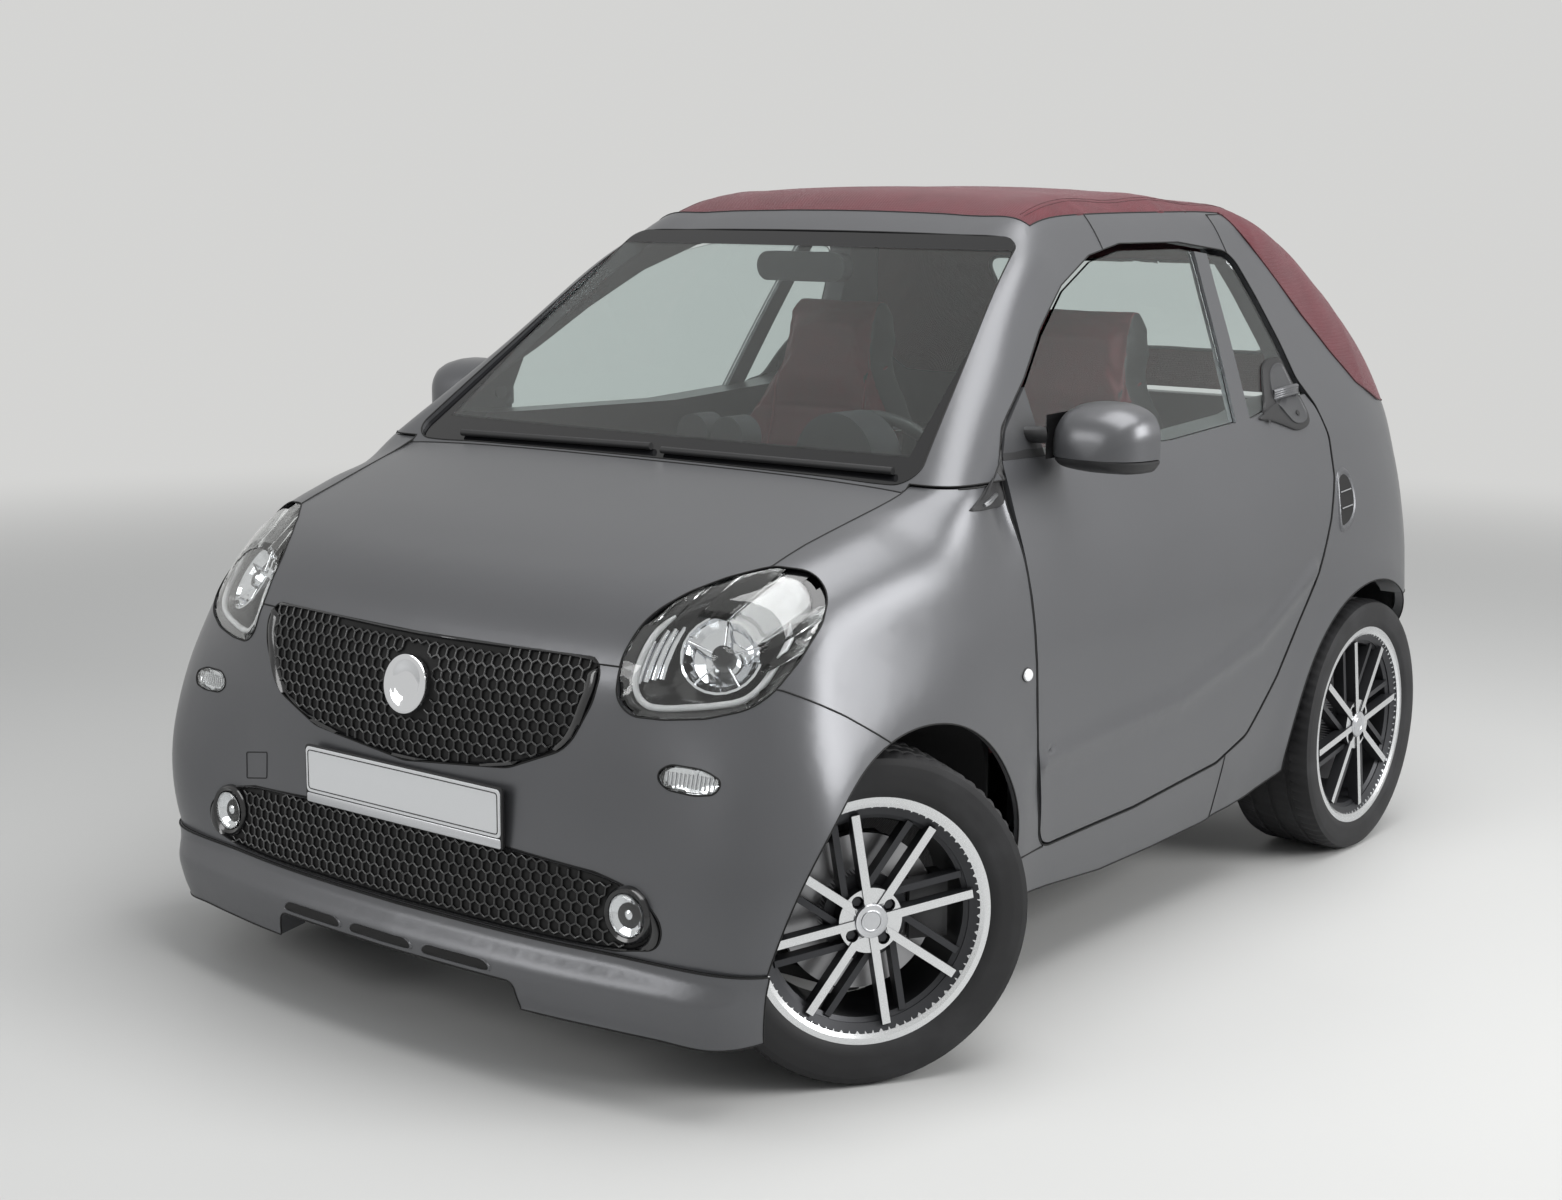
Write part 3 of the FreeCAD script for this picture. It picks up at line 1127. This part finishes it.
def make_rim(x, y, z, rim, width):
    """Alloy rim with barrel, eight bright and eight set-back spokes, hub, brake disc."""
    half = width / 2 - BEAD_WIDTH
    outer = half
    bed = rim - RIM_LIP
    well = bed - WELL_DEPTH
    profile = [
        (-half, rim - RIM_LIP), (-half, bed - RIM_WALL * 2), (-half + RIM_WALL * 2, well - RIM_WALL),
        (outer - RIM_WALL * 3, well - RIM_WALL), (outer - RIM_WALL, bed - RIM_WALL),
        (outer - RIM_WALL / 2, rim - RIM_LIP * 2),
        (outer, rim - RIM_LIP * FLANGE_SHARE), (outer, rim), (outer - RIM_WALL / 2, rim),
        (outer - RIM_WALL / 2, bed), (outer - RIM_WALL * 2, well), (-half + RIM_WALL * 2, well),
        (-half + RIM_WALL / 2, bed),
    ]
    piece = revolve_x(profile, x, y, z)
    face = x + outer - SPOKE_INSET
    reach = well - RIM_WALL / 2
    hub = cylinder_x(HUB_RADIUS, face - HUB_DEPTH, face - SPOKE_INSET / 2, y, z)
    piece = piece.fuse(hub)
    for i in range(SPOKE_COUNT):
        angle = SPOKE_FIRST + i * 360 / SPOKE_COUNT
        corner = V(face - SPOKE_DEPTH, 0, -SPOKE_WIDTH / 2)
        bright = Part.makeBox(SPOKE_DEPTH, reach + RIM_LIP, SPOKE_WIDTH, corner)
        bright.translate(V(0, y, z))
        bright.rotate(V(x, y, z), V(1, 0, 0), -angle)
        start = HUB_RADIUS * SPOKE_START_SHARE
        length = reach * math.sqrt(1 - SECOND_SPOKE_SHARE ** 2) - start
        low = reach * SECOND_SPOKE_SHARE - SECOND_SPOKE_WIDTH / 2
        corner = V(face - SPOKE_DEPTH - SECOND_SPOKE_DROP, start, low)
        dark = Part.makeBox(SPOKE_DEPTH, length, SECOND_SPOKE_WIDTH, corner)
        dark.translate(V(0, y, z))
        dark.rotate(V(x, y, z), V(1, 0, 0), -angle)
        piece = piece.fuse([bright, dark])
    for i in range(BOLT_COUNT):
        angle = math.radians(SPOKE_FIRST + (i + HALF_SHARE) * 360 / BOLT_COUNT)
        by = y + BOLT_CIRCLE * math.cos(angle) * BOLT_CIRCLE_SHARE
        bz = z + BOLT_CIRCLE * math.sin(angle) * BOLT_CIRCLE_SHARE
        piece = piece.cut(cylinder_x(BOLT_RADIUS, face - BOLT_DEPTH, face + RIM_WALL, by, bz))
    cap_end = face + CAP_RISE - SPOKE_INSET / 2
    piece = piece.fuse(cylinder_x(CAP_RADIUS, face - HUB_DEPTH / 2, cap_end, y, z))
    disc_x = face - DISC_OFFSET
    disc = cylinder_x(DISC_RADIUS, disc_x - DISC_THICKNESS, disc_x, y, z)
    hat = cylinder_x(HAT_RADIUS, disc_x - DISC_THICKNESS, face - HUB_DEPTH + RIM_WALL, y, z)
    piece = piece.fuse([disc, hat])
    bore = cylinder_x(HUB_BORE + SHAFT_CLEARANCE, disc_x - DISC_THICKNESS - RIM_WALL, face - HUB_DEPTH, y, z)
    return biggest(piece.cut(bore).removeSplitter())


def wheel_places():
    """Name, X, Y, radius, rim radius and width of each wheel on the left."""
    return (
        ("front", FRONT_WHEEL_X, FRONT_AXLE_Y, FRONT_TYRE_RADIUS, FRONT_RIM_RADIUS, FRONT_TYRE_WIDTH),
        ("rear", REAR_WHEEL_X, REAR_AXLE_Y, REAR_TYRE_RADIUS, REAR_RIM_RADIUS, REAR_TYRE_WIDTH),
    )


def disc_inner_x(x, width):
    """X of the brake disc's inner face."""
    return x + width / 2 - BEAD_WIDTH - SPOKE_INSET - DISC_OFFSET - DISC_THICKNESS


def steer(shape, sign):
    """Turn a front piece about its kingpin to the angle at which the car is parked."""
    turned = shape.copy()
    turned.rotate(V(sign * KINGPIN_X, FRONT_AXLE_Y, 0), V(0, 0, 1), -STEER_AT_REST)
    return turned


def make_wheels():
    """Rims and tyres; the front ones stand turned to the car's right."""
    for end, x, y, radius, rim, width in wheel_places():
        tyre = make_tyre(x, y, radius, radius, rim, width)
        wheel = make_rim(x, y, radius, rim, width)
        for side, sign in (("left", 1), ("right", -1)):
            for kind, shape in (("tyre", tyre), ("rim", wheel)):
                piece = shape if sign > 0 else mirror(shape)
                if end == "front":
                    piece = steer(piece, sign)
                keep(end + "_" + kind + "_" + side, piece)


def make_knuckle():
    """Front knuckle with stub axle, caliper and kingpin bosses."""
    y = FRONT_AXLE_Y
    z = FRONT_TYRE_RADIUS
    inner = disc_inner_x(FRONT_WHEEL_X, FRONT_TYRE_WIDTH) - RUNNING_GAP
    plate = box(inner - KNUCKLE_THICKNESS, inner, y - KNUCKLE_WIDTH / 2, y + KNUCKLE_WIDTH / 2,
                BALL_Z + ARM_THICKNESS / 2 + RUNNING_GAP, TOP_PIVOT_Z - ARM_THICKNESS / 2 - RUNNING_GAP)
    stub = cylinder_x(HUB_BORE, inner - KNUCKLE_THICKNESS, inner + STUB_LENGTH, y, z)
    pin = cylinder_z(PIN_RADIUS, KINGPIN_X, y, BALL_Z - ARM_THICKNESS / 2, TOP_PIVOT_Z + ARM_THICKNESS / 2)
    low_boss = box(KINGPIN_X - PIVOT_RADIUS, inner, y - PIVOT_RADIUS, y + PIVOT_RADIUS,
                   BALL_Z + ARM_THICKNESS / 2 + RUNNING_GAP, BALL_Z + ARM_THICKNESS * BOSS_SHARE)
    high_boss = box(KINGPIN_X - PIVOT_RADIUS, inner, y - PIVOT_RADIUS, y + PIVOT_RADIUS,
                    TOP_PIVOT_Z - ARM_THICKNESS * BOSS_SHARE, TOP_PIVOT_Z - ARM_THICKNESS / 2 - RUNNING_GAP)
    disc_x = inner + RUNNING_GAP
    middle = disc_x + DISC_THICKNESS / 2
    caliper = box(middle - CALIPER_DEPTH / 2, middle + CALIPER_DEPTH / 2,
                  y + DISC_RADIUS - CALIPER_HEIGHT + CALIPER_GAP, y + DISC_RADIUS + CALIPER_GAP * 2,
                  z - CALIPER_WIDTH / 2, z + CALIPER_WIDTH / 2)
    slot = cylinder_x(DISC_RADIUS + CALIPER_GAP, disc_x - CALIPER_GAP / 2,
                      disc_x + DISC_THICKNESS + CALIPER_GAP / 2, y, z)
    caliper = caliper.cut(slot)
    bracket = box(inner - KNUCKLE_THICKNESS, inner - CALIPER_GAP / 2, y, y + DISC_RADIUS - CALIPER_HEIGHT / 2,
                  z - CALIPER_WIDTH / 3, z + CALIPER_WIDTH / 3)
    return biggest(plate.fuse([stub, pin, low_boss, high_boss, caliper, bracket]))


def thick_line(points, thickness):
    """Closed outline of a bent sheet about a line of points."""
    sides = ([], [])
    for i in range(len(points)):
        before = points[i] - points[i - 1] if i > 0 else points[1] - points[0]
        after = points[i + 1] - points[i] if i < len(points) - 1 else points[-1] - points[-2]
        bend = (before.normalize() + after.normalize()).normalize()
        across = V(1, 0, 0).cross(bend)
        reach = thickness / 2 / max(across.dot(V(1, 0, 0).cross(after)), HALF_SHARE)
        sides[0].append(points[i] + across * reach)
        sides[1].append(points[i] - across * reach)
    return sides[0] + sides[1][::-1]


def make_tub():
    """Floor, bulkheads and load floor as one bent sheet, and the wheelhouse liners."""
    half = breadth(TUB_HALF_SHARE)
    line = [V(-half, station(u), level(w)) for u, w in TUB_LINE_SHARES]
    outline = thick_line(line, FLOOR)
    tub = Part.Face(Part.makePolygon(outline + [outline[0]])).extrude(V(2 * half, 0, 0))
    rear_top = level(TUB_LINE_SHARES[-1][1]) + FLOOR / 2
    rear_end = tail_line(rear_top) - tail_plan(REAR_FLOOR_HALF) - TAILGATE_WALL - RUNNING_GAP
    rear_start = station(TUB_LINE_SHARES[-1][0]) - FLOOR
    tub = tub.fuse(box(-REAR_FLOOR_HALF, REAR_FLOOR_HALF, rear_start, rear_end, rear_top - FLOOR, rear_top))
    keep("floor_pan", biggest(tub.removeSplitter()))

    liners = []
    rear_house_top = floor_under() - RUNNING_GAP
    reaches = (
        (FRONT_AXLE_Y, WHEELHOUSE_INNER_X, WHEELHOUSE_OUTER_X, FRONT_HOUSE_HALF, WHEELHOUSE_TOP,
         -LINER_FRONT_REACH, OVERRUN),
        (REAR_AXLE_Y, REAR_LINER_INNER_X, REAR_LINER_OUTER_X, REAR_HOUSE_HALF, rear_house_top,
         -OVERRUN, LINER_REAR_REACH),
    )
    for axle_y, inner_x, outer_x, half_length, top, front, back in reaches:
        shells = []
        for step, start_x in ((0, inner_x - LINER), (LINER, inner_x)):
            low = axle_y - half_length + step
            high = axle_y + half_length - step
            base = WHEELHOUSE_BASE - step * OVERRUN / LINER
            corners = [V(start_x, low, base), V(start_x, high, base), V(start_x, high, top - step),
                       V(start_x, low, top - step)]
            loop = rounded_loop(corners, [0, 0, WHEELHOUSE_CORNER - step, WHEELHOUSE_CORNER - step])
            reach = outer_x - start_x + step * 2
            shells.append(Part.Face(loop).extrude(V(reach, 0, 0)))
        liner = shells[0].cut(shells[1])
        liner = liner.common(box(0, BODY_WIDTH, axle_y + front, axle_y + back, 0, BODY_HEIGHT))
        liners.append(biggest(liner))
    pieces = liners + [mirror(piece) for piece in liners]
    keep("wheel_liners", Part.makeCompound(pieces))


def floor_under():
    """Height of the load floor's underside."""
    return level(TUB_LINE_SHARES[-1][1]) - FLOOR / 2


def make_suspension():
    """Front subframe with arms and struts, rear axle tube with springs, engine block."""
    y = FRONT_AXLE_Y
    arm = box(SUBFRAME_X, KINGPIN_X, y - ARM_WIDTH / 2, y + ARM_WIDTH / 2,
              BALL_Z - ARM_THICKNESS / 2, BALL_Z + ARM_THICKNESS / 2)
    eye_radius = PIVOT_RADIUS + PIN_RADIUS / 2
    eye = cylinder_z(eye_radius, KINGPIN_X, y, BALL_Z - ARM_THICKNESS / 2, BALL_Z + ARM_THICKNESS / 2)
    bore = cylinder_z(PIN_RADIUS + SHAFT_CLEARANCE, KINGPIN_X, y, 0, BODY_HEIGHT)
    high = TOP_PIVOT_Z
    yoke = box(STRUT_X, KINGPIN_X, y - ARM_WIDTH / 2, y + ARM_WIDTH / 2,
               high - ARM_THICKNESS / 2, high + ARM_THICKNESS / 2)
    high_eye = cylinder_z(eye_radius, KINGPIN_X, y, high - ARM_THICKNESS / 2, high + ARM_THICKNESS / 2)
    roof = WHEELHOUSE_TOP - LINER - RUNNING_GAP
    damper = cylinder_z(STRUT_RADIUS, STRUT_X, y, BALL_Z + ARM_THICKNESS / 2, roof)
    spring = cylinder_z(SPRING_RADIUS, STRUT_X, y, high + ARM_THICKNESS, roof)
    left = arm.fuse([eye, yoke, high_eye, damper, spring]).cut(bore)
    beam = box(-SUBFRAME_X - SUBFRAME_HALF, SUBFRAME_X + SUBFRAME_HALF, y - SUBFRAME_HALF, y + SUBFRAME_HALF,
               BALL_Z - ARM_THICKNESS / 2, BALL_Z + SUBFRAME_HALF)
    link = box(-SUBFRAME_HALF, SUBFRAME_HALF, y, station(TUB_LINE_SHARES[3][0]), BALL_Z - ARM_THICKNESS / 2,
               BALL_Z + ARM_THICKNESS / 2)
    frame = beam.fuse([left, mirror(left), link])
    keep("front_suspension", biggest(frame))

    z = REAR_TYRE_RADIUS
    inner = disc_inner_x(REAR_WHEEL_X, REAR_TYRE_WIDTH) - RUNNING_GAP
    tube = cylinder_x(AXLE_TUBE_RADIUS, -inner, inner, REAR_AXLE_Y, z)
    stub = cylinder_x(HUB_BORE, -inner - STUB_LENGTH, inner + STUB_LENGTH, REAR_AXLE_Y, z)
    roof = floor_under() - RUNNING_GAP
    springs = [cylinder_z(SPRING_RADIUS, sign * SPRING_X, REAR_AXLE_Y, z, roof) for sign in (1, -1)]
    keep("rear_axle", biggest(tube.fuse([stub] + springs)))
    keep("engine_block", box(-ENGINE_HALF, ENGINE_HALF, REAR_AXLE_Y - ENGINE_FRONT, REAR_AXLE_Y + ENGINE_REAR,
                             ENGINE_BASE, roof))


def make_knuckles():
    """Both front knuckles at the parked steering angle."""
    knuckle = make_knuckle()
    keep("knuckle_left", steer(knuckle, 1))
    keep("knuckle_right", steer(mirror(knuckle), -1))


def make_seats():
    """Two seats with built-in headrests on their rails."""
    half = SEAT_WIDTH / 2
    left = SEAT_X - half
    points = [V(left, station(u), level(w)) for u, w in SEAT_BASE_SHARES]
    seat = Part.Face(rounded_loop(points, [SEAT_CORNER] * len(points))).extrude(V(SEAT_WIDTH, 0, 0))
    outline = [V(SEAT_X + u * half, FRONT_LIMIT, level(w)) for u, w in SEAT_HALF_SHARES]
    front_view = Part.Face(rounded_loop(outline, [SEAT_CORNER] * len(outline)))
    seat = seat.common(front_view.extrude(V(0, REAR_LIMIT - FRONT_LIMIT, 0)))
    floor_top = level(TUB_LINE_SHARES[3][1]) + FLOOR / 2
    rail_front, rail_rear, rail_top = SEAT_RAIL_SHARES
    rails = box(left + SEAT_RAIL_WIDTH, left + SEAT_WIDTH - SEAT_RAIL_WIDTH, station(rail_front),
                station(rail_rear), floor_top, level(rail_top))
    keep("seats", both(biggest(seat.fuse(rails))))


def make_dash():
    """Dashboard with binnacle and pods, steering column and wheel, inside mirror."""
    half = breadth(DASH_HALF_SHARE)
    points = [V(-half, station(u), level(w)) for u, w in DASH_SHARES]
    dash = Part.Face(rounded_loop(points, [DASH_CORNER] * len(points))).extrude(V(2 * half, 0, 0))
    tilt = math.radians(WHEEL_TILT)
    toward = V(0, math.cos(tilt), math.sin(tilt))
    centre = V(WHEEL_X, station(WHEEL_CENTRE_SHARES[0]), level(WHEEL_CENTRE_SHARES[1]))
    start = V(WHEEL_X, station(BINNACLE_SHARES[0]), level(BINNACLE_SHARES[1]))
    binnacle = Part.makeCylinder(BINNACLE_RADIUS, BINNACLE_LENGTH, start, V(0, 1, 0))
    pods = []
    for step in (0, 1):
        start = V(step * POD_X, station(POD_SHARES[0]), level(POD_SHARES[1]))
        pods.append(Part.makeCylinder(POD_RADIUS, POD_LENGTH, start, V(0, 1, 0)))
    near, far, low, high = DASH_BEAM_SHARES
    beam = box(-half, half, station(near) + DASH_BEAM_GAP, station(far), level(low), level(high))
    dash = dash.fuse([binnacle, beam] + pods)
    back = centre - toward * (WHEEL_HUB_DEPTH + RUNNING_GAP)
    column = Part.makeCylinder(COLUMN_RADIUS, COLUMN_LENGTH, back - toward * COLUMN_LENGTH, toward)
    dash = dash.fuse(column)
    keep("dashboard", biggest(dash))

    grip = Part.makeTorus(WHEEL_RADIUS, WHEEL_GRIP, centre, toward)
    hub = Part.makeCylinder(WHEEL_HUB_RADIUS, WHEEL_HUB_DEPTH, centre - toward * WHEEL_HUB_DEPTH, toward)
    pieces = [hub]
    for angle in STEERING_SPOKES:
        start = centre - toward * WHEEL_GRIP
        spoke = Part.makeCylinder(WHEEL_GRIP * SPOKE_START_SHARE, WHEEL_RADIUS, start, V(1, 0, 0))
        spoke.rotate(centre, toward, angle)
        pieces.append(spoke)
    keep("steering_wheel", biggest(grip.fuse(pieces)))

    y = station(MIRROR_BACK_SHARES[0])
    z = level(MIRROR_BACK_SHARES[1])
    half = INSIDE_MIRROR_WIDTH / 2
    tall = INSIDE_MIRROR_HEIGHT / 2
    corners = [V(-half, y, z - tall), V(half, y, z - tall), V(half, y, z + tall), V(-half, y, z + tall)]
    inside = Part.Face(rounded_loop(corners, [tall] * len(corners))).extrude(V(0, INSIDE_MIRROR_DEPTH, 0))
    keep("interior_mirror", inside)


def make_trim():
    """Wipers, plates, exhaust."""
    wipers = []
    for start, end in WIPER_SHARES:
        ends = []
        for u, w in (start, end):
            foot = SCREEN_FOOT + SCREEN_RISE * (w * (SCREEN_HEAD - SCREEN_FOOT).Length)
            bow = SCREEN_BOW * u * u
            ends.append(V(breadth(u), foot.y, foot.z) - SCREEN_NORMAL * bow)
        way = ends[1] - ends[0]
        depths = [screen_form(*(ends[0] + way * share)) for share in spread(0, 1, SAMPLES)]
        lift = WIPER_RADIUS + RUNNING_GAP - GLASS_INSET / 2 - min(depths)
        wipers.append(Part.makeCylinder(WIPER_RADIUS, way.Length, ends[0] + SCREEN_NORMAL * lift, way))
    keep("wipers", Part.makeCompound(wipers))

    z = level(PLATE_FRONT_SHARES[0])
    front_y = nose_line(z) - PLATE_STAND - PLATE_THICKNESS
    half = PLATE_WIDTH / 2
    tall = PLATE_HEIGHT / 2
    front = box(-half, half, front_y, front_y + PLATE_THICKNESS, z - tall, z + tall)
    z = level(PLATE_FRONT_SHARES[1])
    rear_y = tail_line(z) + RUNNING_GAP
    rear = box(-half, half, rear_y, rear_y + PLATE_THICKNESS, z - tall, z + tall)
    keep("number_plates", Part.makeCompound([front, rear]))

    y = station(EXHAUST_SHARES[0])
    z = level(EXHAUST_SHARES[1])
    box_back = y - EXHAUST_LENGTH + EXHAUST_WALL
    muffler = box(-MUFFLER_HALF, MUFFLER_HALF, box_back - MUFFLER_DEPTH, box_back,
                  z - MUFFLER_HEIGHT / 2, z + MUFFLER_HEIGHT / 2)
    pieces = []
    for sign in (1, -1):
        centre = V(sign * EXHAUST_SPREAD, y - EXHAUST_LENGTH, z)
        tube = Part.makeCylinder(EXHAUST_RADIUS, EXHAUST_LENGTH, centre, V(0, 1, 0))
        start = centre + V(0, EXHAUST_WALL * 2, 0)
        hole = Part.makeCylinder(EXHAUST_RADIUS - EXHAUST_WALL, EXHAUST_LENGTH, start, V(0, 1, 0))
        pieces.append(tube.cut(hole))
    pipe_y = box_back - MUFFLER_DEPTH / 2
    pieces.append(cylinder_z(EXHAUST_RADIUS, 0, pipe_y, z, ENGINE_BASE - RUNNING_GAP))
    keep("exhaust", biggest(muffler.fuse(pieces)))


def main():
    """Build every piece and write one file per node."""
    make_front()
    make_cell()
    make_top()
    make_rear()
    make_wheels()
    make_knuckles()
    make_tub()
    make_suspension()
    make_seats()
    make_dash()
    make_trim()
    os.makedirs("parts", exist_ok=True)
    for name, shape in nodes.items():
        shape.exportStep("parts/" + name + ".step")
        print(name, len(shape.Solids), "solids, valid:", shape.isValid())


main()
